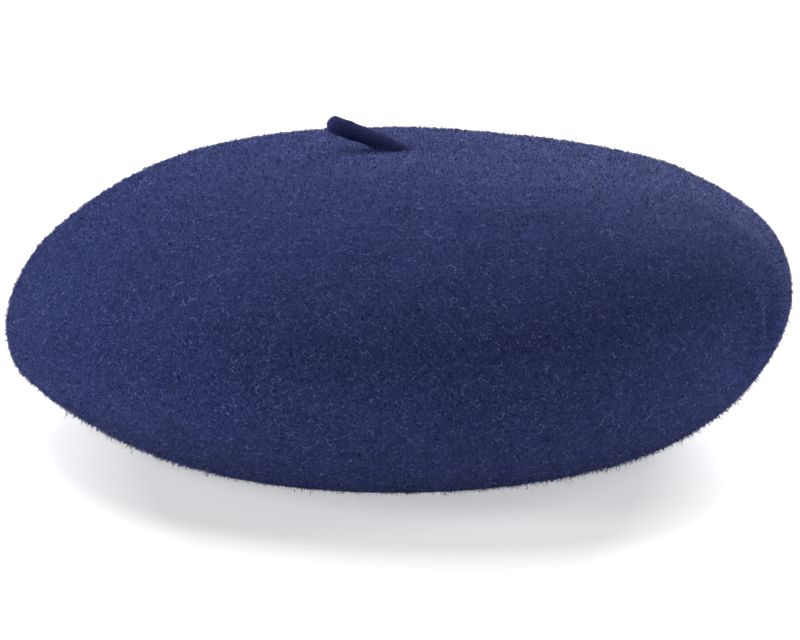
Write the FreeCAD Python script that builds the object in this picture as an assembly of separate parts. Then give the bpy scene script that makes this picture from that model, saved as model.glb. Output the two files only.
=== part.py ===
"""A wool felt beret with a short felt stalk, as separate pieces in millimetres.

Frame: +Z is up through the crown's centre, and the origin is the centre of the head opening, on the
plane that the beret rests on. -Y is the front, the side it is looked at from, and +Y is the back,
where the knitted body is joined, the sweatband's ends meet and the labels hang.

The felt is a thin wall turned round Z. Its outline is two quarter superellipses that meet at the rim:
a flat dome above and a bowl below that narrows to the head opening, where the felt is folded inwards
and stands up as a hem. The wall is parted on a cylinder near the rim, so that the crown can be pressed
down inside the rim. Sizes that drive the shape come first, and everything else follows from them.
"""

import FreeCAD, Part
import math
import os
from FreeCAD import Vector

# The felt wall.
RIM_RADIUS = 140.0        # 280 mm across, a usual adult beret
RIM_HEIGHT = 46.0         # widest circle above the rest plane
DOME_HEIGHT = 56.0        # crown's centre above the widest circle
DOME_POWER = 2.3          # superellipse power of the crown: over 2 is flatter on top, fuller at the rim
BOWL_POWER = 1.9          # superellipse power of the underside
FELT = 2.5                # thickness of the felt
SPLIT_RADIUS = 120.0      # cylinder where crown and rim part
SPLIT_GAP = 0.3           # clear space between them

# The head opening.
HEAD_RADIUS = 86.0        # inside of the sweatband: 540 mm round
BAND_THICK = 0.8
BAND_BOTTOM = 1.6
BAND_HEIGHT = 25.0
BAND_PLAY = 0.2           # between sweatband and hem
BAND_SLIT = 0.4           # where the ribbon's two ends meet
HEM_TOP = 22.0
FOLD_RADIUS = 2.5         # outside of the fold, on the head's side
FOLD_FLAT = 2.5           # width of the flat that the beret stands on
ELASTIC_RADIUS = 1.2
ELASTIC_LIFT = 5.8        # height of the elastic's centre line

# Sewing thread and yarn.
THREAD = 0.16             # radius of sewing thread
STITCH_PITCH = 6.0
STITCH_LENGTH = 3.6
STITCH_HEIGHT = 4.2       # line of the sweatband's stitches
STITCH_SINK = 0.4         # how deep stitches pull into the ribbon
JOIN_STITCHES = 7
YARN = 0.5                # radius of the yarn that closes the body
YARN_CLEAR = 0.1

# The stalk.
STALK_RADIUS = 3.0
STALK_WAIST = 2.75        # a little thinner halfway up
STALK_LENGTH = 29.0       # from the bend to the tip's end
STALK_RISE = 20.5         # degrees above level, as it leans at rest
STALK_TOWARDS_FRONT = 10.0  # degrees from -X towards -Y
STALK_HOLE = 2.2
ROOT_RADIUS = 2.0
ROOT_PROUD = 0.1          # how far the root's plug stands out of the crown
BEND_LIFT = 0.3           # between the crown and the stalk's round end
TAB_RADIUS = 5.5          # the root's flattened end inside the crown
TAB_THICK = 1.2
TAB_GAP = 0.2

# The labels: (width, length, thickness, degrees round from +X, degrees above level at rest).
WOVEN_LABEL = (38.0, 14.0, 0.5, 90.0, 35.0)
CARE_LABEL = (24.0, 29.0, 0.3, 128.0, 8.0)
LABEL_HINGE_RADIUS = 87.6
LABEL_HINGE_HEIGHT = 27.4
LABEL_STEP = 0.6          # from the hinge line to the label's edge

HEM_INNER = HEAD_RADIUS + BAND_THICK + BAND_PLAY
HEM_OUTER = HEM_INNER + FELT
FLAT_OUTER = HEM_INNER + FOLD_RADIUS + FOLD_FLAT
CROWN_TOP = RIM_HEIGHT + DOME_HEIGHT
CROWN_UNDERSIDE = CROWN_TOP - FELT
BEND_HEIGHT = CROWN_TOP + STALK_RADIUS + BEND_LIFT
# The bowl's full depth, so that it reaches the rest plane at FLAT_OUTER.
BOWL_DEPTH = RIM_HEIGHT / (1 - (FLAT_OUTER / RIM_RADIUS) ** BOWL_POWER) ** (1 / BOWL_POWER)

UP = Vector(0, 0, 1)
ORIGIN = Vector(0, 0, 0)


# The felt's outline, in the plane y = 0.

def arc_point(side, angle, inward=0.0):
    """A point of the outline: side 1 is the dome and -1 the bowl, angle 0 is the rim and 90 the axis.
    inward moves it into the wall, square to the surface."""
    power = DOME_POWER if side > 0 else BOWL_POWER
    depth = DOME_HEIGHT if side > 0 else BOWL_DEPTH
    c = abs(math.cos(math.radians(angle)))
    s = abs(math.sin(math.radians(angle)))
    reach = (c ** power + s ** power) ** (-1 / power)
    across, along = c * reach, s * reach
    slope_r = across ** (power - 1) / RIM_RADIUS
    slope_z = side * along ** (power - 1) / depth
    size = math.hypot(slope_r, slope_z)
    return Vector(
        RIM_RADIUS * across - inward * slope_r / size,
        0,
        RIM_HEIGHT + side * depth * along - inward * slope_z / size,
    )


def angle_at_radius(side, radius, inward=0.0):
    """The angle at which the outline has this radius, found by halving."""
    low, high = 0.0, 90.0
    for _ in range(60):
        middle = (low + high) / 2
        if arc_point(side, middle, inward).x > radius:
            low = middle
        else:
            high = middle
    return low


def outline(side, start, end, inward=0.0, count=16):
    """A smooth curve along the outline from one angle to another."""
    steps = [start + (end - start) * i / (count - 1) for i in range(count)]
    points = [arc_point(side, a, inward) for a in steps]
    curve = Part.BSplineCurve()
    curve.interpolate(points)
    return curve.toShape(), points


def line(a, b):
    return Part.makeLine(a, b)


def turned(edges):
    """The solid made by turning a closed outline round Z."""
    face = Part.Face(Part.Wire(edges))
    return face.revolve(ORIGIN, UP, 360)


def felt_wall():
    """The whole felt body: dome, rim, bowl, fold and hem."""
    opening_angle = angle_at_radius(-1, FLAT_OUTER)
    pocket_radius = HEM_OUTER + 1.5
    pocket_angle = angle_at_radius(-1, pocket_radius, FELT)
    bowl, bowl_points = outline(-1, opening_angle, 0)
    dome, dome_points = outline(1, 0, 90)
    dome_inside, inside_points = outline(1, 90, 0, FELT)
    bowl_inside, pocket_points = outline(-1, 0, pocket_angle, FELT)
    hem_in_top = Vector(HEM_INNER, 0, HEM_TOP)
    hem_in_low = Vector(HEM_INNER, 0, FOLD_RADIUS)
    fold_flat = Vector(HEM_INNER + FOLD_RADIUS, 0, 0)
    turn = FOLD_RADIUS * (1 - math.sqrt(0.5))
    fold = Part.Arc(hem_in_low, Vector(HEM_INNER + turn, 0, turn), fold_flat).toShape()
    pocket = pocket_points[-1]
    pocket_corner = Vector(HEM_OUTER, 0, pocket.z)
    hem_out_top = Vector(HEM_OUTER, 0, HEM_TOP)
    edges = [
        line(hem_in_top, hem_in_low),
        fold,
        line(fold_flat, bowl_points[0]),
        bowl,
        dome,
        line(dome_points[-1], inside_points[0]),
        dome_inside,
        bowl_inside,
        line(pocket, pocket_corner),
        line(pocket_corner, hem_out_top),
        line(hem_out_top, hem_in_top),
    ]
    return turned(edges)


def felt_crown(wall):
    """The dome inside the split, with the hole that the stalk's root passes through."""
    height = CROWN_TOP - RIM_HEIGHT + 1
    core = Part.makeCylinder(SPLIT_RADIUS - SPLIT_GAP / 2, height, Vector(0, 0, RIM_HEIGHT))
    hole = Part.makeCylinder(STALK_HOLE, 10, Vector(0, 0, CROWN_TOP - 5))
    return wall.common(core).cut(hole)


def felt_underside(wall):
    """The rim, the bowl and the folded hem, as one piece."""
    height = CROWN_TOP - RIM_HEIGHT + 1
    core = Part.makeCylinder(SPLIT_RADIUS + SPLIT_GAP / 2, height, Vector(0, 0, RIM_HEIGHT))
    return wall.cut(core)


# The head opening's pieces.

def tube(inner, outer, bottom, height):
    base = Vector(0, 0, bottom)
    return Part.makeCylinder(outer, height, base).cut(Part.makeCylinder(inner, height, base))


def sweatband():
    """A grosgrain ribbon standing inside the hem. Its stitches lie sunk in a groove, and its ends meet
    at the back, where the join is pressed thin."""
    ring = tube(HEAD_RADIUS, HEAD_RADIUS + BAND_THICK, BAND_BOTTOM, BAND_HEIGHT)
    groove = tube(
        HEAD_RADIUS - 1, HEAD_RADIUS + STITCH_SINK, STITCH_HEIGHT - 2 * THREAD, 4 * THREAD
    )
    slit = Part.makeBox(
        BAND_SLIT, 10, BAND_HEIGHT + 2, Vector(-BAND_SLIT / 2, HEAD_RADIUS - 5, BAND_BOTTOM - 1)
    )
    pressed = Part.makeBox(
        5.0, STITCH_SINK + 1, BAND_HEIGHT - 8,
        Vector(-2.5, HEAD_RADIUS - 1, BAND_BOTTOM + 5),
    )
    return ring.cut(groove).cut(slit).cut(pressed)


def elastic_cord():
    """A closed loop of round elastic, lying in the pocket between the hem and the bowl."""
    return Part.makeTorus(HEM_OUTER + 2 * ELASTIC_RADIUS, ELASTIC_RADIUS, Vector(0, 0, ELASTIC_LIFT))


def stitch(middle, along, length, radius=THREAD):
    """One visible stitch: a short straight run of thread."""
    run = Vector(along)
    run.normalize()
    start = middle - run * (length / 2)
    return Part.makeCylinder(radius, length, start, run)


def round_at(radius, height, degrees):
    a = math.radians(degrees)
    return Vector(radius * math.cos(a), radius * math.sin(a), height)


def tangent_at(degrees):
    a = math.radians(degrees)
    return Vector(-math.sin(a), math.cos(a), 0)


def sweatband_stitches():
    """Running stitches round the ribbon's lower edge."""
    radius = HEAD_RADIUS + THREAD + 0.02
    count = int(2 * math.pi * radius / STITCH_PITCH)
    half_step = 180.0 / count
    runs = []
    for i in range(count):
        degrees = 90.0 + half_step + 360.0 * i / count
        runs.append(stitch(round_at(radius, STITCH_HEIGHT, degrees), tangent_at(degrees), STITCH_LENGTH))
    return Part.makeCompound(runs)


def sweatband_join_stitches():
    """Slanted stitches across the slit where the ribbon's ends meet."""
    span = BAND_HEIGHT - 11
    runs = []
    for i in range(JOIN_STITCHES):
        height = BAND_BOTTOM + 7 + span * i / (JOIN_STITCHES - 1)
        middle = Vector(0, HEAD_RADIUS + THREAD + 0.02, height)
        runs.append(stitch(middle, Vector(1, 0, 0.35), STITCH_LENGTH))
    return Part.makeCompound(runs)


# The yarn that closes the knitted body along the back, on the inside.

def yarn_run(pieces):
    """A round yarn along outline stretches (side, start angle, end angle), turned to the back."""
    points = []
    for side, start, end in pieces:
        count = max(4, int(abs(end - start) / 6))
        steps = [start + (end - start) * i / count for i in range(count + 1)]
        run = [arc_point(side, a, FELT + YARN + YARN_CLEAR) for a in steps]
        points += run if not points else run[1:]
    points = [Vector(0, p.x, p.z) for p in points]
    curve = Part.BSplineCurve()
    curve.interpolate(points)
    path = Part.Wire(curve.toShape())
    start = curve.FirstParameter
    ring = Part.Wire(Part.makeCircle(YARN, curve.value(start), curve.tangent(start)[0]))
    return path.makePipeShell([ring], True, False)


def crown_seam_yarn():
    inset = FELT + YARN + YARN_CLEAR
    outer = angle_at_radius(1, SPLIT_RADIUS - 2, inset)
    inner = angle_at_radius(1, TAB_RADIUS + 3, inset)
    return yarn_run([(1, inner, outer)])


def underside_seam_yarn():
    inset = FELT + YARN + YARN_CLEAR
    upper = angle_at_radius(1, SPLIT_RADIUS + 2, inset)
    lower = angle_at_radius(-1, HEM_OUTER + 6, inset)
    return yarn_run([(1, upper, 0), (-1, 0, lower)])


# The stalk.

def stalk():
    """A felted stem with a round end at the bend and a blunt tip, leaning to the left."""
    tip_round = 1.6
    body = STALK_LENGTH - tip_round
    middle = Vector(STALK_WAIST, 0, STALK_LENGTH * 0.45)
    side = Part.BSplineCurve()
    side.interpolate([Vector(STALK_RADIUS, 0, 0), middle, Vector(STALK_RADIUS, 0, body)])
    down, right = Vector(0, 0, -STALK_RADIUS), Vector(STALK_RADIUS, 0, 0)
    diagonal = STALK_RADIUS * math.sqrt(0.5)
    foot = Part.Arc(down, Vector(diagonal, 0, -diagonal), right).toShape()
    shoulder = Vector(STALK_RADIUS, 0, body)
    tip_edge = Vector(STALK_RADIUS - tip_round, 0, STALK_LENGTH)
    bulge = tip_round * math.sqrt(0.5)
    tip_middle = Vector(STALK_RADIUS - tip_round + bulge, 0, body + bulge)
    tip = Part.Arc(shoulder, tip_middle, tip_edge).toShape()
    end = Vector(0, 0, STALK_LENGTH)
    solid = turned([foot, side.toShape(), tip, line(tip_edge, end), line(end, down)])
    solid.rotate(ORIGIN, Vector(0, 1, 0), -(90 - STALK_RISE))
    solid.rotate(ORIGIN, UP, STALK_TOWARDS_FRONT)
    solid.translate(Vector(0, 0, BEND_HEIGHT))
    return solid


def stalk_root():
    """The stalk's tail: a plug through the crown with a flat tab inside."""
    tab_top = CROWN_UNDERSIDE - TAB_GAP
    tab = Part.makeCylinder(TAB_RADIUS, TAB_THICK, Vector(0, 0, tab_top - TAB_THICK))
    plug_height = CROWN_TOP + ROOT_PROUD - tab_top
    plug = Part.makeCylinder(ROOT_RADIUS, plug_height, Vector(0, 0, tab_top))
    return tab.fuse(plug)


def stalk_stitches():
    """Two crossed pairs of thread that hold the tab, lying under it."""
    height = CROWN_UNDERSIDE - TAB_GAP - TAB_THICK - THREAD - 0.05
    level = 2.5 * THREAD
    runs = []
    for i in range(2):
        across = Vector(1, 0, 0) if i == 0 else Vector(0, 1, 0)
        beside = Vector(0, 1, 0) if i == 0 else Vector(1, 0, 0)
        for shift in (-1.0, 1.0):
            middle = beside * shift + Vector(0, 0, height - i * level)
            runs.append(stitch(middle, across, 2 * TAB_RADIUS - 3))
    return Part.makeCompound(runs)


# The labels, each hinged on its sewn edge.

def placed_label(solid, degrees):
    """Moves a label from its own frame, hinge line on Y through the origin, to its place."""
    solid.translate(Vector(LABEL_HINGE_RADIUS, 0, LABEL_HINGE_HEIGHT))
    solid.rotate(ORIGIN, UP, degrees)
    return solid


def label(size):
    width, length, thick, degrees, rise = size
    flap = Part.makeBox(length, width, thick, Vector(LABEL_STEP, -width / 2, -thick / 2))
    upright = [e for e in flap.Edges if abs(e.tangentAt(e.FirstParameter).z) > 0.99]
    far = [e for e in upright if e.Vertexes[0].X > length / 2]
    flap = flap.makeFillet(1.5, far)
    flap.rotate(ORIGIN, Vector(0, 1, 0), -rise)
    return placed_label(flap, degrees)


def label_stitches(size):
    """The thread that catches the label's edge into the seam, just outside the ribbon."""
    width, _, _, degrees, _ = size
    count = int(width / 4.0)
    runs = []
    for i in range(count):
        along = (i - (count - 1) / 2) * 4.0
        middle = Vector(-0.35, along, -LABEL_HINGE_HEIGHT + HEM_TOP + 2 * THREAD + 0.1)
        runs.append(stitch(middle, Vector(0, 1, 0), 2.6))
    return placed_label(Part.makeCompound(runs), degrees)


def export(name, shape):
    shape.exportStep(os.path.join("parts", name + ".step"))


def main():
    os.makedirs("parts", exist_ok=True)
    wall = felt_wall()
    pieces = {
        "felt_crown": felt_crown(wall),
        "felt_underside": felt_underside(wall),
        "sweatband": sweatband(),
        "elastic_cord": elastic_cord(),
        "sweatband_stitches": sweatband_stitches(),
        "sweatband_join_stitches": sweatband_join_stitches(),
        "crown_seam_yarn": crown_seam_yarn(),
        "underside_seam_yarn": underside_seam_yarn(),
        "stalk": stalk(),
        "stalk_root": stalk_root(),
        "stalk_stitches": stalk_stitches(),
        "woven_label": label(WOVEN_LABEL),
        "woven_label_stitches": label_stitches(WOVEN_LABEL),
        "care_label": label(CARE_LABEL),
        "care_label_stitches": label_stitches(CARE_LABEL),
    }
    for name, shape in pieces.items():
        export(name, shape)
        print(name, "solids", len(shape.Solids), "valid", shape.isValid(), "cm3", round(shape.Volume / 1000, 2))


main()
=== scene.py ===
"""The looks of a navy wool felt beret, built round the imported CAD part. Sizes are in millimetres where
nothing else is said, and the meshes are in metres.

The felt body is one shell, turned from nearly the same outline as the CAD solids and then made soft:
its rim is not level, it sags and is dented, and it is covered with wool fibres that are real strips of
mesh.
"""

import math

import bmesh
import bpy
import numpy as np
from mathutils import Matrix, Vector


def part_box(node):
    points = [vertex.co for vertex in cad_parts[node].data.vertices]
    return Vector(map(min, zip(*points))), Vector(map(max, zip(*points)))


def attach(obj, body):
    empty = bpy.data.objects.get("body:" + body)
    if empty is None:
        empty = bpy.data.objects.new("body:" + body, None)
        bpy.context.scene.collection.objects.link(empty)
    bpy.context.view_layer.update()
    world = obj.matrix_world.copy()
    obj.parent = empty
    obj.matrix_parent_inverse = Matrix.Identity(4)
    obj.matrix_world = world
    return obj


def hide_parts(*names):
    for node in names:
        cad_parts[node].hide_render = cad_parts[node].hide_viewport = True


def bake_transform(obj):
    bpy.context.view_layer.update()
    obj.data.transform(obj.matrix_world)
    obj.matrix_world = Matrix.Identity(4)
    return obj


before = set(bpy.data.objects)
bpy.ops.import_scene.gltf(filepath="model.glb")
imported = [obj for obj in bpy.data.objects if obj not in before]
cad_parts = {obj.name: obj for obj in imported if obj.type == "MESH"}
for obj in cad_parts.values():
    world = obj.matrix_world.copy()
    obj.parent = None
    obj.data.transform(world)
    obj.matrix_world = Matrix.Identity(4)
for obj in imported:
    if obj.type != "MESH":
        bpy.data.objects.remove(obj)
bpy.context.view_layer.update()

MM = 0.001
SEED = 11


def cad_box(node):
    """A CAD piece's lowest and highest corners in millimetres, to the nearest 0.1 mm."""
    return [np.round(np.array(corner) / MM, 1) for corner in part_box(node)]


# The felt's outline, in millimetres. It is the CAD part's, but a little fuller or leaner in places.
RIM_RADIUS = cad_box("felt_underside")[1][0]
CROWN_TOP = cad_box("felt_crown")[1][2]
RIM_HEIGHT = 46.0
DOME_HEIGHT = CROWN_TOP - RIM_HEIGHT
DOME_POWER = 2.23             # superellipse power: over 2 is flatter on top and fuller at the rim
BOWL_POWER = 1.90
FELT = 2.5
HEM_INNER = 87.0
HEM_TOP = 22.0
POCKET_FLOOR = 4.5            # height of the felt between the hem and the underside
FOLD = 2.5
FLAT_OUTER = 92.0             # outer edge of the flat ring that the beret stands on

# How the soft felt departs from the turned outline, in millimetres.
DOME_FULLER = 0.15            # the crown's shoulder is fuller on the right than on the left
RIGHT_TUCK = 0.14             # but less so at the very end
RIGHT_BOWL_TUCK = 0.26        # where the underside is tucked in as well
BOWL_FULLER = 0.42            # the underside is fuller towards BOWL_FULLER_AT
BOWL_FULLER_AT = -48.0        # degrees from +X
LEFT_FULLER = 0.10            # and at the left end
# How narrow those places are: the higher, the narrower.
RIGHT_NARROW = 8
RIGHT_BOWL_NARROW = 5
LEFT_NARROW = 4
LEFT_DROOP = 6.8              # how far the rim's left end hangs down
RIGHT_LIFT = 6.5              # how far its right end is held up
LEFT_SHORTER = 2.0            # how far in the left end lies
RIGHT_LOBE = (0.0, 36.0)      # degrees from +X to the lobe's middle, and its half-width in degrees
LEFT_LOBE = (180.0, 29.0)
# Broad swells and dips of the crown: x, y, width, height.
CROWN_SWELLS = (
    (-58.0, 45.0, 45.0, 1.4),
    (-40.0, 38.0, 22.0, 1.3),
    (14.0, 60.0, 26.0, -0.8),
    (0.0, 0.0, 26.0, -1.4),
)

# Soft lumps in the felt: (wavelength, height) in millimetres.
LUMPS = ((80.0, 0.30), (38.0, 0.16), (17.0, 0.08))
WAVES_OF_EACH = 7
# Dents and ridges: (degrees from +X, height, width round, width up, depth) in millimetres.
DENTS = (
    (-23.5, 44.0, 5.5, 11.0, -5.0),
    (-29.5, 43.0, 4.0, 14.0, 2.4),
    (203.0, 55.0, 14.0, 6.0, -2.6),
    (193.0, 33.0, 18.0, 8.0, 1.6),
)

# The felt settles under its own weight, by cloth simulation, before anything else is done to it.
SETTLE_AROUND = 96
SETTLE_DOME = 34
SETTLE_BOWL = 22
SETTLE_LEVELS = 80            # rows in which the movement is kept
SETTLE_FRAMES = 14
SETTLE_MOST = 1.2             # how far any point may move, in millimetres
STIFF_FELT = {
    "mass": 0.0002,
    "quality": 6,
    "tension_stiffness": 30,
    "compression_stiffness": 30,
    "shear_stiffness": 15,
    "bending_stiffness": 3,
}

STALK_RISE = 22.5             # degrees above level
STALK_TOWARDS_FRONT = 10.0    # degrees from -X towards -Y
STALK_START = CROWN_TOP - 1.6
STALK_ROOTED = 6.0            # length of the slanting foot inside the crown
STALK_OUT = 24.0
STALK_RADIUS = 3.2


# Meshes from arrays.

def mesh_piece(name, points, faces, material):
    """A smooth mesh object from an array of points (metres) and an array of faces."""
    mesh = bpy.data.meshes.new(name)
    mesh.vertices.add(len(points))
    mesh.vertices.foreach_set("co", np.asarray(points, np.float32).ravel())
    corners = faces.shape[1]
    mesh.loops.add(faces.size)
    mesh.loops.foreach_set("vertex_index", np.asarray(faces, np.int32).ravel())
    mesh.polygons.add(len(faces))
    mesh.polygons.foreach_set("loop_start", np.arange(0, faces.size, corners, dtype=np.int32))
    mesh.update(calc_edges=True)
    mesh.validate()
    mesh.polygons.foreach_set("use_smooth", np.ones(len(mesh.polygons), bool))
    mesh.materials.append(material)
    obj = bpy.data.objects.new(name, mesh)
    bpy.context.scene.collection.objects.link(obj)
    return obj


def grid_faces(rows, columns, close_rows=False, close_columns=False):
    """Quads of a grid of points stored row by row."""
    i = np.arange(rows if close_rows else rows - 1)
    j = np.arange(columns if close_columns else columns - 1)
    a, b = np.meshgrid(i, j, indexing="ij")
    a, b = a.ravel(), b.ravel()
    c, d = (a + 1) % rows, (b + 1) % columns
    return np.stack([a * columns + b, c * columns + b, c * columns + d, a * columns + d], 1)


# The felt body's shape.

def superellipse(angle, power):
    """(across, along) of a unit quarter superellipse at an angle from the across axis."""
    c, s = np.abs(np.cos(angle)), np.abs(np.sin(angle))
    reach = (c ** power + s ** power) ** (-1 / power)
    return c * reach, s * reach


def outline_point(side, angle, around, inward=0.0):
    """A point of the felt wall before it sags: side 1 is the dome, -1 the bowl; angle 0 is the rim and
    pi/2 the axis; around is the direction from +X."""
    power, depth = dome_shape(around) if side > 0 else bowl_shape(around)
    across, along = superellipse(angle, power)
    slope_r = across ** (power - 1) / RIM_RADIUS
    slope_z = side * along ** (power - 1) / depth
    size = np.hypot(slope_r, slope_z)
    radius = RIM_RADIUS * across - inward * slope_r / size
    return radius, RIM_HEIGHT + side * depth * along - inward * slope_z / size


def dome_shape(around):
    """(power, depth) of the dome in one direction."""
    power = DOME_POWER + DOME_FULLER * np.cos(around) - RIGHT_TUCK * right_end(around, RIGHT_NARROW)
    return power, DOME_HEIGHT


def right_end(around, narrow):
    """1 at the rim's right end, falling to 0 on both sides of it, the sooner the narrower."""
    return np.exp(-(np.sin(around / 2) * narrow) ** 2)


def bowl_shape(around):
    """(power, depth) of the bowl, which comes down to the table at the fold's outer edge."""
    left_end = np.exp(-(np.cos(around / 2) * LEFT_NARROW) ** 2)
    power = BOWL_POWER + BOWL_FULLER * np.cos(around - math.radians(BOWL_FULLER_AT))
    power = power + LEFT_FULLER * left_end - RIGHT_BOWL_TUCK * right_end(around, RIGHT_BOWL_NARROW)
    return power, RIM_HEIGHT / (1 - (FLAT_OUTER / RIM_RADIUS) ** power) ** (1 / power)


def outline_run(side, start, end, inward, count, around):
    """Points along a stretch of the outline, evenly spaced: array (around, count, 2). start and end are
    angles; an end below 0 stands for the bowl's angle at that radius."""
    rows = []
    for turn in around:
        limits = [bowl_end(-a, turn, inward) if a < 0 else a for a in (start, end)]
        angle = np.linspace(limits[0], limits[1], 300)
        r, z = outline_point(side, angle, turn, inward)
        length = np.concatenate([[0], np.cumsum(np.hypot(np.diff(r), np.diff(z)))])
        steps = np.linspace(0, length[-1], count)
        rows.append(np.stack([np.interp(steps, length, r), np.interp(steps, length, z)], 1))
    return np.array(rows)


def bowl_end(radius, around, inward):
    """The angle at which the bowl has narrowed to this radius."""
    angle = np.linspace(0, math.pi / 2, 1500)
    r, _ = outline_point(-1, angle, around, inward)
    return angle[np.argmax(r < radius)]


def soft(points):
    """Takes points of the turned outline to where the soft felt lies. Millimetres in and out."""
    x, y, z = points[..., 0], points[..., 1], points[..., 2]
    rim = np.hypot(x, y) / RIM_RADIUS
    level = np.clip(z / CROWN_TOP, 0, 1)
    free = 4 * level * (1 - level) * rim ** 2
    sag = RIGHT_LIFT * lobe(x, y, *RIGHT_LOBE) - LEFT_DROOP * lobe(x, y, *LEFT_LOBE)
    upper = np.clip((z - RIM_HEIGHT) / DOME_HEIGHT, 0, 1)
    swell = 0
    for across, back, width, height in CROWN_SWELLS:
        swell = swell + height * upper * np.exp(-((x - across) ** 2 + (y - back) ** 2) / width ** 2)
    narrow = 1 - free * LEFT_SHORTER / RIM_RADIUS * lobe(x, y, *LEFT_LOBE)
    moved = np.stack([x * narrow, y * narrow, z + free * sag + swell], -1) + settled(points)
    return moved + (lumps(points) + dents(points))[..., None] * outwards(points)


def settling_shell():
    """A coarse sheet of the felt's outside, held at the head opening: (object, places as turned)."""
    around = directions(SETTLE_AROUND)
    dome = outline_run(1, math.pi / 2 - 0.02, 0, 0, SETTLE_DOME, around)
    bowl = outline_run(-1, 0, -FLAT_OUTER, 0, SETTLE_BOWL, around)[:, 1:]
    places = placed(np.concatenate([dome, bowl], 1), around)
    count = places.shape[1]
    faces = grid_faces(SETTLE_AROUND, count, close_rows=True)
    sheet = mesh_piece("settling", places.reshape(-1, 3) * MM, faces, None)
    held = np.arange(SETTLE_AROUND * count).reshape(SETTLE_AROUND, count)[:, -3:]
    sheet.vertex_groups.new(name="held").add(held.ravel().tolist(), 1.0, "REPLACE")
    return sheet, places


def settle():
    """Simulates the felt as cloth. Returns how far each place moves and the places as turned, both as
    arrays (directions, places from the pole down, 3) in millimetres."""
    sheet, places = settling_shell()
    cloth = sheet.modifiers.new("cloth", "CLOTH")
    cloth.settings.vertex_group_mass = "held"
    for setting, value in STIFF_FELT.items():
        setattr(cloth.settings, setting, value)
    cloth.collision_settings.use_collision = False
    cloth.point_cache.frame_end = SETTLE_FRAMES
    scene = bpy.context.scene
    for moment in range(1, SETTLE_FRAMES + 1):
        scene.frame_set(moment)
    shape = sheet.evaluated_get(bpy.context.evaluated_depsgraph_get()).data
    ends = np.empty(len(shape.vertices) * 3, np.float32)
    shape.vertices.foreach_get("co", ends)
    scene.frame_set(1)
    bpy.data.objects.remove(sheet)
    moved = ends.reshape(places.shape) / MM - places
    furthest = np.linalg.norm(moved, axis=-1).max()
    return moved * min(1, SETTLE_MOST / furthest), places


def height_angle(points):
    """The angle of points above the rim's level, seen from the middle of the rim."""
    return np.arctan2(points[..., 2] - RIM_HEIGHT, np.hypot(points[..., 0], points[..., 1]))


def settled(points):
    """How far the felt has moved at each point by settling. The crown moves as the sheet does; below
    the rim the movement fades to nothing at the flat that the beret stands on."""
    moved, places = SETTLED
    lowest, highest = height_angle(places)[:, -1].max(), height_angle(places)[:, 0].min()
    level = np.linspace(lowest, highest, SETTLE_LEVELS)
    table = np.stack([
        np.stack([np.interp(level, height_angle(column)[::-1], move[::-1, axis]) for axis in range(3)], -1)
        for move, column in zip(moved, places)
    ])
    turn = np.arctan2(points[..., 1], points[..., 0]) / (2 * math.pi) % 1 * SETTLE_AROUND
    first = np.floor(turn).astype(int) % SETTLE_AROUND
    share = (turn % 1)[..., None]
    row = np.interp(height_angle(points), level, np.arange(SETTLE_LEVELS))
    low = np.minimum(row.astype(int), SETTLE_LEVELS - 2)
    rise = (row - low)[..., None]
    here = table[first, low] * (1 - rise) + table[first, low + 1] * rise
    following = (first + 1) % SETTLE_AROUND
    there = table[following, low] * (1 - rise) + table[following, low + 1] * rise
    reach = np.clip((np.hypot(points[..., 0], points[..., 1]) - FLAT_OUTER) / 20, 0, 1)
    free = np.where(points[..., 2] > RIM_HEIGHT, 1.0, reach)[..., None]
    return free * (here * (1 - share) + there * share)


def lobe(x, y, at, width):
    """1 in one direction from the middle, falling smoothly to 0 round the rim."""
    off = (np.degrees(np.arctan2(y, x)) - at + 180) % 360 - 180
    return np.exp(-(off / width) ** 2)


def outwards(points):
    """The direction out of the shell near each point."""
    size = np.array([RIM_RADIUS, RIM_RADIUS, DOME_HEIGHT]) ** 2
    slope = (points - np.array([0, 0, RIM_HEIGHT])) / size
    return slope / np.maximum(np.linalg.norm(slope, axis=-1, keepdims=True), 1e-9)


def lumps(points):
    """Shallow swells of soft felt, fading to nothing at the head opening."""
    rng = np.random.default_rng(SEED)
    height = np.zeros(points.shape[:-1])
    for wavelength, size in LUMPS:
        for _ in range(WAVES_OF_EACH):
            way = rng.normal(size=3)
            way *= 2 * math.pi / wavelength / np.linalg.norm(way)
            height += size / 2 * np.sin(points @ way + rng.uniform(0, 2 * math.pi))
    return height * np.clip((points[..., 2] - 4) / 20, 0, 1)


def dents(points):
    """The few marked hollows and folds."""
    around = np.degrees(np.arctan2(points[..., 1], points[..., 0]))
    total = np.zeros(points.shape[:-1])
    for at, height, wide, tall, depth in DENTS:
        off = (around - at + 180) % 360 - 180
        across = np.radians(off) * np.hypot(points[..., 0], points[..., 1])
        total += depth * np.exp(-(across / wide) ** 2 - ((points[..., 2] - height) / tall) ** 2)
    return total


def directions(count):
    """Angles from +X, evenly spaced all the way round."""
    return np.linspace(0, 2 * math.pi, count, endpoint=False)


def placed(profile, around):
    """Points (radius, height) for each direction, as points in space: array (around, profile, 3)."""
    r, z = profile[..., 0], profile[..., 1]
    turn = around[:, None]
    return np.stack([r * np.cos(turn), r * np.sin(turn), z], -1)


def hem_profile():
    """The fold, the hem's two sides and the floor of its pocket: (radius, height)."""
    turn = np.linspace(math.pi / 2, math.pi, 8)
    fold = np.stack([HEM_INNER + FOLD + FOLD * np.cos(turn), FOLD - FOLD * np.sin(turn)], 1)
    inside = np.stack([np.full(8, HEM_INNER), np.linspace(FOLD, HEM_TOP, 9)[1:]], 1)
    outside = np.stack([np.full(8, HEM_INNER + FELT), np.linspace(HEM_TOP, POCKET_FLOOR, 8)], 1)
    return np.concatenate([fold, inside, outside])


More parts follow.
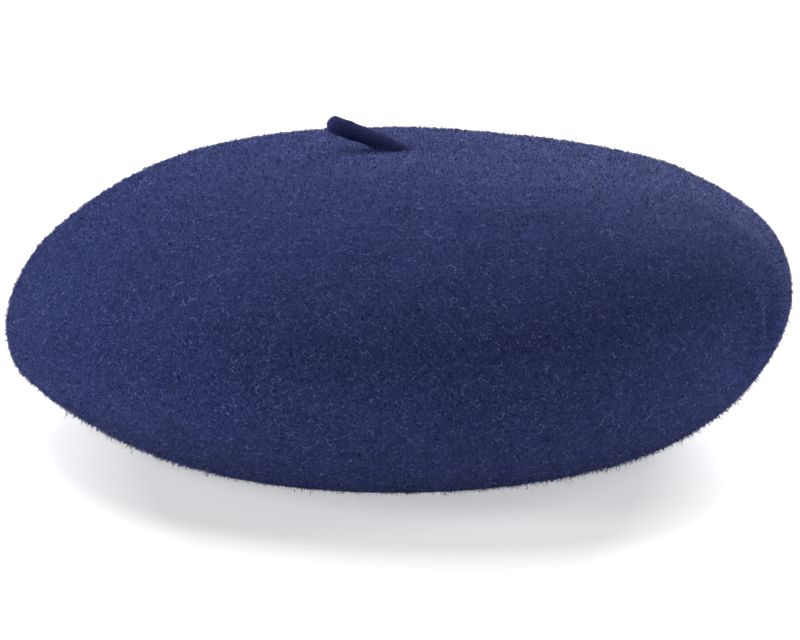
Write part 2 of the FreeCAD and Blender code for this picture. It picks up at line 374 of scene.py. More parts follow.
def felt_body(material):
    """The felt wall as one closed shell, with a hair-wide hole at the pole that the stalk covers."""
    around = directions(360)
    pole = math.pi / 2 - 0.004
    hem = np.repeat(hem_profile()[None], len(around), 0)
    runs = [
        outline_run(1, pole, 0, 0, 90, around),
        outline_run(-1, 0, -FLAT_OUTER, 0, 60, around)[:, 1:],
        hem,
        outline_run(-1, -(HEM_INNER + FELT + 1.5), 0, FELT, 40, around),
        outline_run(1, 0, pole, FELT, 60, around)[:, 1:],
    ]
    points = soft(placed(np.concatenate(runs, 1), around))
    faces = grid_faces(*points.shape[:2], close_rows=True, close_columns=True)
    return mesh_piece("felt_body", points.reshape(-1, 3) * MM, faces[:, ::-1], material)


SETTLED = settle()            # it is simulated once, and settled() reads it for every piece


# Wool fibres.

PATCHY = 0.1
PATCH_SIZES = (5.0, 5.0, 5.0, 9.0, 9.0, 14.0)


def outer_skin():
    """The felt's outside, to grow fibres from: (points, normals, area that each point stands for)."""
    around = directions(480)
    dome = outline_run(1, math.pi / 2 - 0.01, 0, 0, 110, around)
    bowl = outline_run(-1, 0, -FLAT_OUTER, 0, 70, around)[:, 1:]
    points = soft(placed(np.concatenate([dome, bowl], 1), around))
    along = np.gradient(points, axis=1)
    sideways = (np.roll(points, -1, 0) - np.roll(points, 1, 0)) / 2
    normals = np.cross(sideways, along)
    area = np.linalg.norm(normals, axis=-1)
    normals = -normals / np.maximum(area, 1e-9)[..., None]
    near_pole = normals[0, 5]
    if near_pole[2] < 0:
        normals = -normals
    return points.reshape(-1, 3), normals.reshape(-1, 3), area.ravel()


def scattered(skin, count, rng):
    """count places on the skin, nearly evenly spread: positions and normals."""
    points, normals, area = skin
    share = area * patchy(points, rng)
    pick = rng.choice(len(points), count, p=share / share.sum())
    jitter = rng.normal(size=(count, 3)) * 0.6
    normal = normals[pick]
    jitter -= normal * (jitter * normal).sum(1, keepdims=True)
    return points[pick] + jitter, normal


def unit(v):
    """Vectors at length 1."""
    return v / np.maximum(np.linalg.norm(v, axis=-1, keepdims=True), 1e-9)


def patchy(points, rng):
    """Uneven density: wool gathers in small patches."""
    total = np.zeros(len(points))
    for wavelength in PATCH_SIZES:
        way = rng.normal(size=3)
        way *= 2 * math.pi / wavelength / np.linalg.norm(way)
        total += np.sin(points @ way + rng.uniform(0, 2 * math.pi))
    return np.exp(PATCHY * total)


def fibre_strips(places, normals, rng, length, width, lift, crimp, steps, droop=(0.8, 1.9)):
    """Thin strips that leave the surface at an angle, wave from side to side, and bend back down.
    lift is a range of degrees, crimp the size of the waves in radians, and droop how much of the lift
    is lost by the tip. Millimetres."""
    count = len(places)
    lengths = length * rng.lognormal(0, 0.4, count)
    widths = width * rng.lognormal(0, 0.3, count)[:, None]
    way = rng.normal(size=(count, 3))
    way = unit(way - normals * (way * normals).sum(1, keepdims=True))
    rise = np.radians(rng.uniform(lift[0], lift[1], count))
    drop = rise * rng.uniform(*droop, count) / steps
    bend = crimp * rng.normal(0, 0.7, count) / steps
    size = crimp * rng.uniform(0.4, 1.3, count)
    phase = rng.uniform(0, 2 * math.pi, count)
    pace = 2 * math.pi * rng.uniform(0.5, 1.5, count) / steps
    roll = rng.uniform(-0.7, 0.7, count)[:, None]
    at = places - normals * 0.1
    rows = []
    for k in range(steps + 1):
        side = np.cross(normals, way)
        ahead = way * np.cos(rise)[:, None] + normals * np.sin(rise)[:, None]
        flat = unit(side * np.cos(roll) + np.cross(ahead, side) * np.sin(roll))
        taper = widths * (0.35 if k == steps else 1.0)
        rows.append(np.stack([at - flat * taper / 2, at + flat * taper / 2], 1))
        at = at + ahead * (lengths / steps)[:, None]
        turn = bend + size * (np.sin(phase + pace * (k + 1)) - np.sin(phase + pace * k))
        way = unit(way * np.cos(turn)[:, None] + side * np.sin(turn)[:, None])
        rise = rise - drop
    return np.stack(rows, 1)


def strip_faces(count, steps):
    """The faces of count strips of this many quads each."""
    ring = np.arange(steps)[None, :] * 2 + np.arange(count)[:, None] * (steps + 1) * 2
    return np.stack([ring, ring + 1, ring + 3, ring + 2], -1).reshape(-1, 4)


def fibres(name, skin, count, material, seed, *shape):
    """Fibres grown from the skin; shape is what fibre_strips takes after its random numbers."""
    rng = np.random.default_rng(seed)
    places, normals = scattered(skin, count, rng)
    strips = fibre_strips(places, normals, rng, *shape)
    points = strips.reshape(-1, 3)
    points[:, 2] = np.maximum(points[:, 2], 0.15)
    return mesh_piece(name, points * MM, strip_faces(count, strips.shape[1] - 1), material)


# The stalk.

def stalk_path(count=30):
    """The stalk's centre line: it comes out of the crown's centre at a low angle and lies to the left."""
    rise, front = math.radians(STALK_RISE), math.radians(STALK_TOWARDS_FRONT)
    lean = np.array([-math.cos(rise) * math.cos(front), -math.cos(rise) * math.sin(front), math.sin(rise)])
    along = np.linspace(-STALK_ROOTED, STALK_OUT, count)[:, None]
    sway = 0.25 * np.sin(along / 5.5) * np.array([0, 1.0, 0.6])
    bent = -0.08 * np.minimum(along + 1, 0) ** 2 * np.array([0, 0, 1.0])
    return np.array([0, 0, STALK_START]) + lean * along + sway + bent


def swept(path, radii, sides, flat=1.0):
    """Rings round a path: array (path, sides, 3). flat squeezes the rings upwards."""
    ahead = unit(np.gradient(path, axis=0))
    side = unit(np.cross(ahead, np.array([0, 0, 1.0])))
    top = np.cross(side, ahead)
    a = np.linspace(0, 2 * math.pi, sides, endpoint=False)
    ring = side[:, None] * np.cos(a)[None, :, None] + flat * top[:, None] * np.sin(a)[None, :, None]
    return path[:, None] + ring * np.asarray(radii)[:, None, None]


def stalk_body(material):
    """The felted stem, a little uneven, with a blunt end: (object, rings, path)."""
    path = stalk_path()
    end = path[-1] - path[-2]
    cap = np.radians([18.0, 36.0, 54.0, 70.0, 82.0, 89.0])
    path = np.concatenate([path, path[-1] + unit(end) * 2.0 * np.sin(cap)[:, None]])
    along = np.linspace(-STALK_ROOTED, STALK_OUT, len(path) - len(cap))
    radii = STALK_RADIUS - 0.15 * np.exp(-((along - 12) / 6) ** 2) - 1.9 * np.exp(-((along + 9) / 5) ** 2)
    radii = np.concatenate([radii, radii[-1] * np.cos(cap) ** 0.8])
    rings = swept(path, radii, 40)
    rng = np.random.default_rng(SEED + 1)
    for wavelength, size in ((9.0, 0.06), (3.5, 0.045)):
        for _ in range(5):
            way = unit(rng.normal(size=3)) * 2 * math.pi / wavelength
            swell = size * np.sin(rings @ way + rng.uniform(0, 6))
            rings = rings + (rings - path[:, None]) / 3 * swell[..., None]
    faces = grid_faces(*rings.shape[:2], close_columns=True)
    return mesh_piece("stalk_felt", rings.reshape(-1, 3) * MM, faces[:, ::-1], material), rings, path


def stalk_fuzz(rings, path, material, count, seed, length, width):
    """Short fibres all over the stalk."""
    rng = np.random.default_rng(seed)
    pick = rng.integers(1, rings.shape[0] - 1, count), rng.integers(0, rings.shape[1], count)
    places = rings[pick]
    normals = unit(places - path[pick[0]])
    strips = fibre_strips(places, normals, rng, length, width, (3, 40), 0.6, 4)
    return mesh_piece("stalk_fuzz", strips.reshape(-1, 3) * MM, strip_faces(count, 4), material)


# Thread, yarn and cord.

def twisted(path, radius, twist, plies=2, sides=10, depth=0.18):
    """Rings of a plied thread round a path: its outline turns as it goes. twist is turns a millimetre."""
    length = np.concatenate([[0], np.cumsum(np.linalg.norm(np.diff(path, axis=0), axis=1))])
    ahead = unit(np.gradient(path, axis=0))
    guide = np.where(np.abs(ahead[:, 2:3]) > 0.8, [[1.0, 0, 0]], [[0, 0, 1.0]])
    side = unit(np.cross(ahead, guide))
    top = np.cross(side, ahead)
    a = np.linspace(0, 2 * math.pi, sides, endpoint=False)[None, :]
    turn = 2 * math.pi * twist * length[:, None]
    r = radius * (1 - depth + depth * np.abs(np.cos(plies / 2 * (a - turn))))
    return path[:, None] + r[..., None] * (
        side[:, None] * np.cos(a)[..., None] + top[:, None] * np.sin(a)[..., None]
    )


def tubes(name, rings, material, closed=False):
    """One mesh from equal-sized ring arrays (path, sides, 3) in millimetres."""
    points, faces, start = [], [], 0
    for ring in rings:
        faces.append(grid_faces(*ring.shape[:2], close_rows=closed, close_columns=True) + start)
        points.append(ring.reshape(-1, 3))
        start += ring.shape[0] * ring.shape[1]
    return mesh_piece(name, np.concatenate(points) * MM, np.concatenate(faces), material)


def sewn(middle, along, out, length, radius, sink):
    """A stitch that comes up from the cloth, lies on it and goes back in."""
    t = np.linspace(-1, 1, 11)[:, None]
    path = middle + along * t * length / 2 - out * sink * np.abs(t) ** 4
    rings = twisted(path, radius, 1.6, sides=8)
    rings[0] = path[0] + (rings[0] - path[0]) * 0.4
    rings[-1] = path[-1] + (rings[-1] - path[-1]) * 0.4
    return rings


def at_degrees(degrees):
    """(outward, along) unit vectors in one direction round Z."""
    a = math.radians(degrees)
    return np.array([math.cos(a), math.sin(a), 0]), np.array([-math.sin(a), math.cos(a), 0])


# Inside the head opening.

BAND_LOW, BAND_HIGH = cad_box("sweatband")
BAND_THICK = 0.8
BAND_RADIUS = BAND_HIGH[0] - BAND_THICK
BAND_BOTTOM, BAND_TOP = BAND_LOW[2], BAND_HIGH[2]
BAND_RIBS = 560
STITCH_PITCH = 6.0
STITCH_HEIGHT = 4.2
JOIN_STITCHES = 7
BAND_JOIN = 90.0              # degrees from +X to where the ribbon's ends meet


def ribbon(material):
    """Grosgrain ribbon: a ribbed band whose ends meet at the back, a little puckered by its stitches."""
    columns, rows = BAND_RIBS * 4, 15
    gap = math.radians(0.12)
    around = np.linspace(gap, 2 * math.pi - gap, columns) + math.radians(BAND_JOIN)
    up = np.linspace(0, 1, rows)
    rib = 0.10 * np.cos(np.arange(columns) * math.pi / 2)[:, None] * np.ones(rows)
    edge = 0.10 * ((up < 0.05) | (up > 0.95))
    height = BAND_BOTTOM + up * (BAND_TOP - BAND_BOTTOM)
    pucker = 0.25 * np.exp(-((height - STITCH_HEIGHT) / 1.2) ** 2)
    inner = BAND_RADIUS + 0.12 - rib - edge + pucker
    outer = BAND_RADIUS + BAND_THICK - 0.12 - rib * 0.5 + edge
    skins = []
    for radius in (inner, outer[:, ::-1]):
        z = np.broadcast_to(height if radius is inner else height[::-1], radius.shape)
        skins.append(np.stack([radius * np.cos(around)[:, None], radius * np.sin(around)[:, None], z], -1))
    points = np.concatenate(skins, 1)
    faces = grid_faces(columns, rows * 2, close_columns=True)
    band = mesh_piece("ribbon", points.reshape(-1, 3) * MM, faces, material)
    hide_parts("sweatband")
    return band


def ribbon_stitches(material):
    """The stitches along the ribbon's lower edge."""
    count = int(2 * math.pi * BAND_RADIUS / STITCH_PITCH)
    rings = []
    for i in range(count):
        out, along = at_degrees(BAND_JOIN + 360.0 * (i + 0.5) / count)
        middle = out * (BAND_RADIUS + 0.16) + np.array([0, 0, STITCH_HEIGHT])
        rings.append(sewn(middle, along, -out, 3.6, 0.17, 0.35))
    made = tubes("ribbon_stitches", rings, material)
    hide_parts("sweatband_stitches")
    return made


def join_stitches(material):
    """Slanting stitches that close the ribbon's join, one above the other."""
    rings = []
    out, along = at_degrees(BAND_JOIN)
    slant = unit(along + np.array([0, 0, 0.35]))
    for i in range(JOIN_STITCHES):
        lift = BAND_BOTTOM + 7 + 14.0 * i / (JOIN_STITCHES - 1)
        middle = out * (BAND_RADIUS - 0.05) + np.array([0, 0, lift])
        rings.append(sewn(middle, slant, -out, 3.6, 0.17, 0.45))
    made = tubes("join_stitches", rings, material)
    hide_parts("sweatband_join_stitches")
    return made


def elastic(material):
    """Round elastic with a braided cover."""
    around = directions(900)
    low, high = cad_box("elastic_cord")
    radius, lift = high[0] - (high[2] - low[2]) / 2, (high[2] + low[2]) / 2
    path = np.stack([radius * np.cos(around), radius * np.sin(around), 0 * around + lift], 1)
    a = np.linspace(0, 2 * math.pi, 16, endpoint=False)
    braid = np.cos(4 * a[None, :] + 225 * around[:, None]) * np.cos(4 * a[None, :] - 225 * around[:, None])
    size = (1.08 + 0.10 * braid)[..., None]
    out = np.stack([np.cos(around), np.sin(around), 0 * around], 1)
    ring = out[:, None] * np.cos(a)[None, :, None] + np.array([0, 0, 1.0]) * np.sin(a)[None, :, None]
    made = tubes("elastic", [path[:, None] + ring * size], material, closed=True)
    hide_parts("elastic_cord")
    return made


def seam_yarn(material):
    """The yarn that closes the body along the back: an overcast spiral on the inside of the felt."""
    turn = np.array([math.pi / 2])
    inset = FELT + 0.35
    dome = outline_run(1, 1.45, 0, inset, 1500, turn)[0]
    bowl = outline_run(-1, 0, -(HEM_INNER + 8.5), inset, 900, turn)[0][1:]
    line = np.concatenate([dome, bowl])
    length = np.concatenate([[0], np.cumsum(np.hypot(*np.diff(line, axis=0).T))])
    place = soft(np.stack([0 * line[:, 0], line[:, 0], line[:, 1]], 1))
    inward = -outwards(place)
    phase = 2 * math.pi * length / 3.2
    path = place + np.array([1.0, 0, 0]) * 1.1 * np.cos(phase)[:, None]
    path = path + inward * (0.45 + 0.45 * np.sin(phase))[:, None]
    made = tubes("seam_yarn", [twisted(path, 0.40, 0.5, sides=8)], material)
    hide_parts("crown_seam_yarn", "underside_seam_yarn")
    return made


# The labels: blank, one woven and one printed satin, each free but for its sewn edge.

LABEL_HINGE = (87.6, 27.4)    # radius and height of the sewn edges
LABEL_START = 0.6             # from the hinge line to the cloth's edge
LABEL_PITCH = 4.0             # from one stitch to the next
LABELS = {
    "woven_label": {"width": 38.0, "length": 14.0, "thick": 0.5, "at": 90.0, "rise": 35.0, "curl": 0.8},
    "care_label": {"width": 24.0, "length": 29.0, "thick": 0.3, "at": 128.0, "rise": 8.0, "curl": 1.6},
}


def label_place(points, size):
    """Takes (along, across, up) from the hinge line to where the label is. Millimetres."""
    rise = math.radians(size["rise"])
    out, across = at_degrees(size["at"])
    forward = out * math.cos(rise) + np.array([0, 0, math.sin(rise)])
    up = np.array([0, 0, math.cos(rise)]) - out * math.sin(rise)
    hinge = out * LABEL_HINGE[0] + np.array([0, 0, LABEL_HINGE[1]])
    return hinge + points[..., 0:1] * forward + points[..., 1:2] * across + points[..., 2:3] * up


def label(name, material):
    """A thin cloth flap, gently curled, with a folded edge where it is sewn."""
    size = LABELS[name]
    rows, columns = 40, 60
    along = np.linspace(LABEL_START, LABEL_START + size["length"], rows)
    across = np.linspace(-size["width"] / 2, size["width"] / 2, columns)
    a, b = np.meshgrid(along, across, indexing="ij")
    share = (a - LABEL_START) / size["length"]
    bend = size["curl"] * (share ** 2 * 0.6 - 0.25 * np.sin(b / size["width"] * 5.0) * share)
    fold = 0.12 * (share < 0.12) + 0.05 * (np.abs(b) > size["width"] / 2 - 0.8)
    half = size["thick"] / 2 - 0.1
    top = np.stack([a, b, bend + half + fold], -1)
    bottom = np.stack([a, b, bend - half - fold * 0.3], -1)
    points = np.concatenate([top, bottom[::-1]], 0)
    faces = grid_faces(rows * 2, columns, close_rows=True)
    made = mesh_piece(name + "_cloth", label_place(points, size).reshape(-1, 3) * MM, faces, material)
    close_sides(made)
    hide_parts(name)
    return made


def close_sides(obj):
    """Fills the open side edges of a folded sheet."""
    mesh = obj.data
    shell = bmesh.new()
    shell.from_mesh(mesh)
    bmesh.ops.holes_fill(shell, edges=[e for e in shell.edges if e.is_boundary], sides=0)
    bmesh.ops.recalc_face_normals(shell, faces=shell.faces)
    shell.to_mesh(mesh)
    shell.free()


def label_thread(name, material):
    """The row of stitches that holds a label to the hem's top edge."""
    size = LABELS[name]
    out, across = at_degrees(size["at"])
    count = int(size["width"] / LABEL_PITCH)
    rings = []
    for i in range(count):
        step = (i - (count - 1) / 2) * LABEL_PITCH
        middle = out * (LABEL_HINGE[0] - 0.35) + across * step + np.array([0, 0, HEM_TOP + 0.42])
        rings.append(sewn(middle, across, -np.array([0, 0, 1.0]), 2.6, 0.16, 0.1))
    made = tubes(name + "_thread", rings, material)
    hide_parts(name + "_stitches")
    return made


def stalk_knot(material):
    """The stalk's root inside the crown: a flattened pad of felt."""
    turn = directions(48)[:, None]
    flat = np.radians(np.linspace(-88, 88, 17))[None, :]
    lumpy = 1 + 0.06 * np.sin(3 * turn + 1) + 0.04 * np.sin(5 * turn)
    radius = 5.2 * np.cos(flat) ** 0.5 * lumpy
    height = CROWN_TOP - FELT - 0.9 + 0.6 * np.sin(flat) * np.abs(np.sin(flat)) ** 0.3 + 0 * turn
    points = np.stack([radius * np.cos(turn), radius * np.sin(turn), height], -1)
    points[..., 2] += dip_at_pole()
    faces = grid_faces(48, 17, close_rows=True)
    made = mesh_piece("stalk_knot", points.reshape(-1, 3) * MM, faces, material)
    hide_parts("stalk_root")
    return made


def dip_at_pole():
    """How far the soft crown's centre lies above the turned outline's top: less than 0 for a dip."""
    return float(soft(np.array([[0.01, 0.0, CROWN_TOP]]))[0, 2] - CROWN_TOP)


def knot_stitches(material):
    """Two pairs of crossed stitches under the stalk's root."""
    height = CROWN_TOP - FELT - 1.75 + dip_at_pole()
    rings = []
    for i, (along, beside) in enumerate((((1.0, 0, 0), (0, 1.0, 0)), ((0, 1.0, 0), (1.0, 0, 0)))):
        for shift in (-1.0, 1.0):
            middle = np.array(beside) * shift + np.array([0, 0, height - 0.34 * i])
            rings.append(sewn(middle, np.array(along), np.array([0, 0, -1.0]), 7.0, 0.17, 0.5))
    made = tubes("knot_stitches", rings, material)
    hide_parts("stalk_stitches")
    return made


# Materials.

class Nodes:
    """A material's nodes, made one call each."""

    def __init__(self, name):
        self.material = bpy.data.materials.new(name)
        self.material.use_nodes = True
        self.tree = self.material.node_tree
        self.shader = self.tree.nodes["Principled BSDF"]

    def add(self, kind, settings=None, **inputs):
        made = self.tree.nodes.new(kind)
        for key, value in (settings or {}).items():
            setattr(made, key, value)
        for key, value in inputs.items():
            self.put(made, key.replace("_", " "), value)
        return made

    def put(self, target, socket, value):
        if isinstance(value, bpy.types.NodeSocket):
            self.tree.links.new(value, target.inputs[socket])
        else:
            target.inputs[socket].default_value = value

    def math(self, operation, a, b=0.0):
        made = self.tree.nodes.new("ShaderNodeMath")
        made.operation = operation
        self.put(made, 0, a)
        self.put(made, 1, b)
        return made.outputs[0]

    def ramp(self, fac, low, high):
        made = self.tree.nodes.new("ShaderNodeMapRange")
        self.put(made, "Value", fac)
        made.inputs["From Min"].default_value = low
        made.inputs["From Max"].default_value = high
        return made.outputs["Result"]

    def mix(self, fac, a, b):
        made = self.tree.nodes.new("ShaderNodeMix")
        made.data_type = "RGBA"
        self.put(made, 0, fac)
        self.put(made, 6, a)
        self.put(made, 7, b)
        return made.outputs[2]


def colour(r, g, b):
    return (r, g, b, 1.0)


def millimetres(nodes):
    """Object coordinates in millimetres."""
    place = nodes.add("ShaderNodeTexCoord").outputs["Object"]
    scaled = nodes.tree.nodes.new("ShaderNodeVectorMath")
    scaled.operation = "SCALE"
    nodes.put(scaled, 0, place)
    scaled.inputs["Scale"].default_value = 1 / MM
    return scaled.outputs[0]


def curly_lines(nodes, place, scale, width, distortion):
    """Thin wandering lines, like wool fibres lying on felt: 1 on a line and 0 between."""
    noise = nodes.add("ShaderNodeTexNoise", Vector=place, Scale=scale, Detail=1.0, Distortion=distortion)
    off = nodes.math("ABSOLUTE", nodes.math("SUBTRACT", noise.outputs[0], 0.5))
    return nodes.math("SUBTRACT", 1.0, nodes.ramp(off, 0.0, width))


def felt_material(name, dark, middle, light, sheen):
    """Mottled felt with paler fibres lying on it, drawn as fine and coarse wandering lines; the dark mottle
    is partly the felt's own tone, partly painted shade between fibres.
    """
    nodes = Nodes(name)
    place = millimetres(nodes)
    fine = curly_lines(nodes, place, 0.95, 0.13, 1.8)
    coarse = curly_lines(nodes, place, 0.55, 0.08, 2.4)
    lines = nodes.math("MAXIMUM", fine, nodes.math("MULTIPLY", coarse, 0.9))
    mottle = nodes.add("ShaderNodeTexNoise", Vector=place, Scale=1.7, Detail=3.0, Roughness=0.8)
    cloudy = nodes.add("ShaderNodeTexNoise", Vector=place, Scale=0.045, Detail=3.0)
    # The dark colour of the mottle is partly the felt's own uneven tone and partly painted shade in the
    # gaps between fibres.
    base = nodes.mix(nodes.ramp(mottle.outputs[0], 0.38, 0.66), dark, middle)
    purple = colour(middle[0] * 1.25, middle[1] * 0.92, middle[2])
    base = nodes.mix(nodes.math("MULTIPLY", nodes.ramp(cloudy.outputs[0], 0.45, 0.7), 0.35), base, purple)
    strength = nodes.math("MULTIPLY", lines, 0.6)
    nodes.put(nodes.shader, "Base Color", nodes.mix(strength, base, light))
    height = nodes.math("ADD", nodes.math("MULTIPLY", lines, 0.5), mottle.outputs[0])
    bump = nodes.add("ShaderNodeBump", Strength=0.55, Distance=0.0004, Height=height)
    nodes.put(nodes.shader, "Normal", bump.outputs[0])
    nodes.put(nodes.shader, "Roughness", 0.95)
    nodes.put(nodes.shader, "Specular IOR Level", 0.02)
    nodes.put(nodes.shader, "Sheen Weight", sheen)
    nodes.put(nodes.shader, "Sheen Roughness", 0.55)
    nodes.put(nodes.shader, "Sheen Tint", colour(0.55, 0.62, 0.9))
    return nodes.material


def woven_material(name, dark, light, across, along, shine):
    """Cloth of crossing threads. across and along are threads a millimetre, round the head and upwards."""
    nodes = Nodes(name)
    place = nodes.add("ShaderNodeSeparateXYZ", Vector=millimetres(nodes))
    x, y, z = place.outputs
    turn = nodes.math("ARCTAN2", y, x)
    warp = wave(nodes, turn, across * BAND_RADIUS)
    weft = wave(nodes, z, along)
    weave = nodes.math("MAXIMUM", warp, weft)
    speck = nodes.add("ShaderNodeTexNoise", Vector=millimetres(nodes), Scale=2.0, Detail=3.0)
    fac = nodes.math("MULTIPLY", weave, nodes.ramp(speck.outputs[0], 0.2, 0.75))
    nodes.put(nodes.shader, "Base Color", nodes.mix(fac, dark, light))
    bump = nodes.add("ShaderNodeBump", Strength=0.4, Distance=0.0001, Height=weave)
    nodes.put(nodes.shader, "Normal", bump.outputs[0])
    nodes.put(nodes.shader, "Roughness", 0.85 - shine)
    nodes.put(nodes.shader, "Specular IOR Level", 0.1 + shine)
    nodes.put(nodes.shader, "Sheen Weight", 0.1)
    return nodes.material


def wave(nodes, value, frequency):
    """0 to 1 and back, frequency times a unit of value."""
    turned = nodes.math("SINE", nodes.math("MULTIPLY", value, 2 * math.pi * frequency))
    return nodes.math("MULTIPLY", nodes.math("ADD", turned, 1.0), 0.5)


def thread_material(name, tint):
    """Spun thread: a soft, slightly uneven colour."""
    nodes = Nodes(name)
    speck = nodes.add("ShaderNodeTexNoise", Vector=millimetres(nodes), Scale=3.0, Detail=2.0)
    darker = colour(*(0.6 * c for c in tint[:3]))
    nodes.put(nodes.shader, "Base Color", nodes.mix(speck.outputs[0], darker, tint))
    nodes.put(nodes.shader, "Roughness", 0.7)
    nodes.put(nodes.shader, "Specular IOR Level", 0.25)
    nodes.put(nodes.shader, "Sheen Weight", 0.15)
    return nodes.material


def fibre_material(name, tint):
    """One wool fibre's plain colour, without a shine."""
    nodes = Nodes(name)
    nodes.put(nodes.shader, "Base Color", tint)
    nodes.put(nodes.shader, "Roughness", 0.75)
    nodes.put(nodes.shader, "Specular IOR Level", 0.05)
    nodes.put(nodes.shader, "Sheen Weight", 0.1)
    return nodes.material


# Lights, floor and camera.

FLOOR_WHITE = (0.63, 0.65)    # how pale the floor is, at its darkest and lightest
FLOOR_CAMERA_GLOW = 0.16             # painted light: how strongly the floor glows for the camera alone, lightening the studio's shadows
FLOOR_GLOW = 0.35           # painted light: how strongly the floor glows for the camera and the felt, lightening its shadows
FLOOR_SHADE = (0.11, 0.26)    # half-width and half-depth of the patch of floor whose shadow is kept
FLOOR_GLOW_RAMP = (0.8, 1.9)     # sizes of that patch between which the floor's painted glow rises until it is pure white
# Soft round lamps: name, place in metres, power in watts.
LAMPS = (
    ("back", (0.6, 1.4, 0.5), 34.0),
    ("above", (-0.4, 0.5, 1.3), 15.0),
    ("left", (-1.4, -0.6, 0.7), 12.0),
    ("right", (1.4, 0.0, 0.7), 8.0),
)
LAMP_SIZE = 0.8
ROOM_LIGHT = 0.04


def floor_material():
    """Matt white with a painted glow that lightens it as on an overexposed studio sweep, more for the
    camera than for the felt.
    """
    white = Nodes("floor_white")
    grain = white.add("ShaderNodeTexNoise", Scale=40.0)
    darkest, palest = (colour(tone, tone, tone) for tone in FLOOR_WHITE)
    tint = white.mix(grain.outputs[0], darkest, palest)
    white.put(white.shader, "Base Color", tint)
    white.put(white.shader, "Roughness", 1.0)
    white.put(white.shader, "Specular IOR Level", 0.0)
    seen = white.add("ShaderNodeLightPath").outputs["Is Camera Ray"]
    white.put(white.shader, "Emission Color", colour(1, 1, 1))
    place = white.add("ShaderNodeTexCoord").outputs["Object"]
    far = white.add("ShaderNodeVectorMath", {"operation": "MULTIPLY"})
    white.put(far, 0, place)
    far.inputs[1].default_value = (1 / FLOOR_SHADE[0], 1 / FLOOR_SHADE[1], 0)
    away = white.add("ShaderNodeVectorMath", {"operation": "LENGTH"})
    white.put(away, 0, far.outputs[0])
    # Painted light: outside the patch round the beret the floor glows more, until it is pure white.
    glow_ramp = white.ramp(away.outputs["Value"], *FLOOR_GLOW_RAMP)
    lift = white.math("MULTIPLY", seen, white.math("ADD", glow_ramp, FLOOR_CAMERA_GLOW))
    white.put(white.shader, "Emission Strength", white.math("ADD", lift, FLOOR_GLOW))
    return white.material


def studio():
    corners = np.array([[-4, -4, 0], [4, -4, 0], [4, 4, 0], [-4, 4, 0]], float)
    floor = mesh_piece("floor", corners, np.array([[0, 1, 2, 3]]), floor_material())
    world_light()
    for name, place, power in LAMPS:
        area_light(name, place, LAMP_SIZE, power)


def area_light(name, place, size, power):
    data = bpy.data.lights.new(name, "AREA")
    data.shape = "DISK"
    data.size = size
    data.energy = power
    light = bpy.data.objects.new(name, data)
    light.location = place
    aim = Vector((0, 0, 0.05)) - Vector(place)
    light.rotation_euler = aim.to_track_quat("-Z", "Y").to_euler()
    light.visible_camera = False
    bpy.context.scene.collection.objects.link(light)


def world_light():
    """A room that is white to the camera and adds little light."""
    world = bpy.data.worlds.new("studio")
    bpy.context.scene.world = world
    world.use_nodes = True
    tree = world.node_tree
    shade = tree.nodes["Background"]
    shade.inputs["Color"].default_value = (1, 1, 1, 1)
    strength = tree.nodes.new("ShaderNodeMapRange")
    strength.inputs["To Min"].default_value = ROOM_LIGHT
    seen = tree.nodes.new("ShaderNodeLightPath").outputs["Is Camera Ray"]
    tree.links.new(seen, strength.inputs["Value"])
    tree.links.new(strength.outputs["Result"], shade.inputs["Strength"])


CAMERA_DISTANCE = 1.0         # in metres, as is the target
CAMERA_RISE = 12.2            # degrees above level
CAMERA_LENS = 125.4           # in millimetres, for a sensor 36 mm wide
CAMERA_SHIFT = (0.0057, -0.0278)
CAMERA_TARGET = Vector((0, 0, 0.046))


def camera():
    data = bpy.data.cameras.new("camera")
    data.sensor_width = 36.0
    data.lens = CAMERA_LENS
    data.shift_x, data.shift_y = CAMERA_SHIFT
    rise = math.radians(CAMERA_RISE)
    obj = bpy.data.objects.new("camera", data)
    obj.location = CAMERA_TARGET + CAMERA_DISTANCE * Vector((0, -math.cos(rise), math.sin(rise)))
    obj.rotation_euler = (CAMERA_TARGET - obj.location).to_track_quat("-Z", "Y").to_euler()
    bpy.context.scene.collection.objects.link(obj)
    bpy.context.scene.camera = obj


def press_blend(piece):
    """Bakes the piece's placement into its mesh."""
    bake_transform(piece)


# Wool fibres: name, how many, tint, seed, length, width, lift, crimp, steps, and droop where it isn't
# the usual one. Millimetres, degrees and radians, as fibre_strips takes them.
UPRIGHT = (0.1, 0.9)
FIBRES = (
    ("nap_a", 24000, "navy", 21, 1.5, 0.10, (5, 35), 0.8, 4),
    ("nap_b", 16000, "mid", 22, 1.4, 0.07, (5, 35), 1.2, 6),
    ("nap_c", 16000, "mid", 25, 1.6, 0.06, (5, 35), 1.4, 6),
    ("nap_d", 16000, "pale", 27, 1.1, 0.058, (5, 40), 1.3, 6),
    ("nap_e", 16000, "pale", 28, 1.7, 0.048, (5, 40), 1.5, 6),
    ("pile_a", 32000, "deep", 41, 0.9, 0.14, (40, 88), 0.8, 3, UPRIGHT),
    ("pile_b", 32000, "navy", 42, 1.1, 0.12, (40, 88), 0.8, 3, UPRIGHT),
    ("fuzz_a", 22000, "navy", 23, 1.9, 0.12, (25, 85), 1.8, 4, UPRIGHT),
    ("fuzz_b", 22000, "navy", 29, 1.4, 0.15, (25, 85), 1.6, 4, UPRIGHT),
    ("strays", 300, "pale", 24, 4.0, 0.06, (5, 30), 0.9, 8),
)
WOOL_TINTS = {
    "deep": (0.018, 0.026, 0.120),
    "navy": (0.034, 0.048, 0.195),
    "mid": (0.15, 0.19, 0.55),
    # The pale tint is partly paler wool and partly painted glints on the fibres.
    "pale": (0.38, 0.46, 0.95),
}


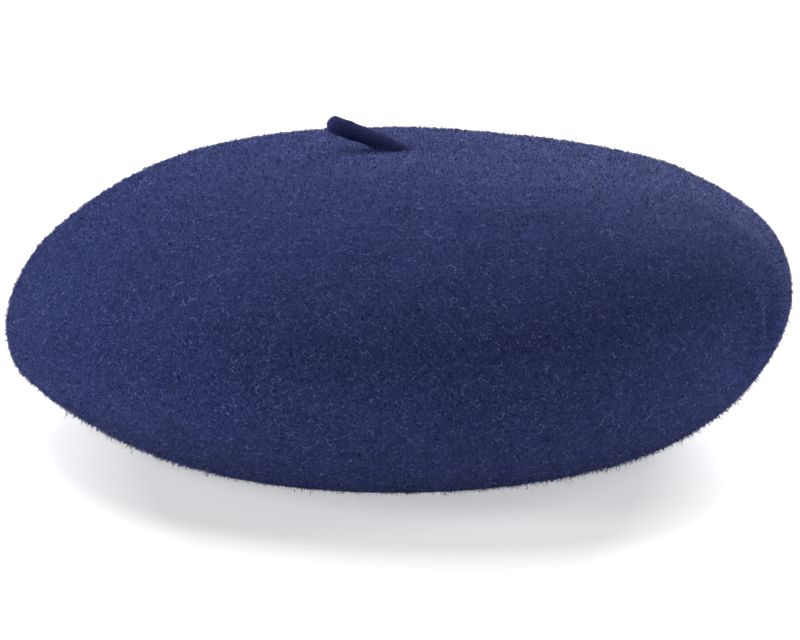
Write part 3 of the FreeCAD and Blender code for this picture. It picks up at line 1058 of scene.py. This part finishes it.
def add_felt():
    # dark is partly painted shade between the fibres.
    dark, middle, light = colour(0.003, 0.004, 0.026), colour(0.018, 0.025, 0.115), colour(0.09, 0.12, 0.35)
    body = felt_body(felt_material("felt_navy", dark, middle, light, 0.05))
    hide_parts("felt_crown", "felt_underside")
    skin = outer_skin()
    wool = {tint: fibre_material("fibre_" + tint, colour(*value)) for tint, value in WOOL_TINTS.items()}
    tufts = [fibres(name, skin, count, wool[tint], *shape) for name, count, tint, *shape in FIBRES]
    for piece in [body] + tufts:
        press_blend(piece)


def add_stalk():
    # dark is partly painted shade between the fibres.
    dark, middle, light = colour(0.018, 0.022, 0.085), colour(0.050, 0.060, 0.190), colour(0.10, 0.12, 0.33)
    wool = felt_material("felt_stalk", dark, middle, light, 0.05)
    stalk, rings, path = stalk_body(wool)
    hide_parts("stalk")
    hair = fibre_material("fibre_stalk", colour(0.060, 0.072, 0.21))
    hairs = stalk_fuzz(rings, path, hair, 2500, 31, 1.2, 0.07)
    knot = stalk_knot(wool)
    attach(knot, "stalk_root")
    for piece in (stalk, hairs):
        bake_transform(piece)


def add_opening():
    """What is sewn inside the head opening."""
    ink, navy = colour(0.006, 0.007, 0.02), colour(0.02, 0.024, 0.06)
    black, grey = colour(0.01, 0.01, 0.015), colour(0.05, 0.05, 0.07)
    grosgrain = woven_material("grosgrain", ink, navy, 1.0, 2.5, 0.1)
    cover = woven_material("elastic_cover", black, grey, 1.0, 1.5, 0.05)
    thread = thread_material("thread", colour(0.03, 0.036, 0.10))
    pieces = (
        (ribbon(grosgrain), "ribbon"),
        (ribbon_stitches(thread), "thread"),
        (join_stitches(thread), "thread"),
        (elastic(cover), "elastic"),
    )
    for piece, slot in pieces:
        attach(piece, "headband")
    yarn = seam_yarn(thread_material("yarn", colour(0.035, 0.048, 0.15)))
    press_blend(yarn)
    held = knot_stitches(thread)
    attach(held, "crown")


def add_labels():
    charcoal, slate = colour(0.02, 0.02, 0.022), colour(0.07, 0.07, 0.075)
    cream, white = colour(0.62, 0.62, 0.60), colour(0.82, 0.82, 0.80)
    damask = woven_material("damask", charcoal, slate, 3.0, 3.0, 0.2)
    satin = woven_material("satin", cream, white, 4.0, 1.0, 0.3)
    thread = thread_material("label_thread", colour(0.03, 0.03, 0.035))
    for name, cloth in (("woven_label", damask), ("care_label", satin)):
        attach(label(name, cloth), name)
        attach(label_thread(name, thread), "headband")


def main():
    bpy.context.scene.view_settings.view_transform = "Standard"
    add_felt()
    add_stalk()
    add_opening()
    add_labels()
    studio()
    camera()


main()
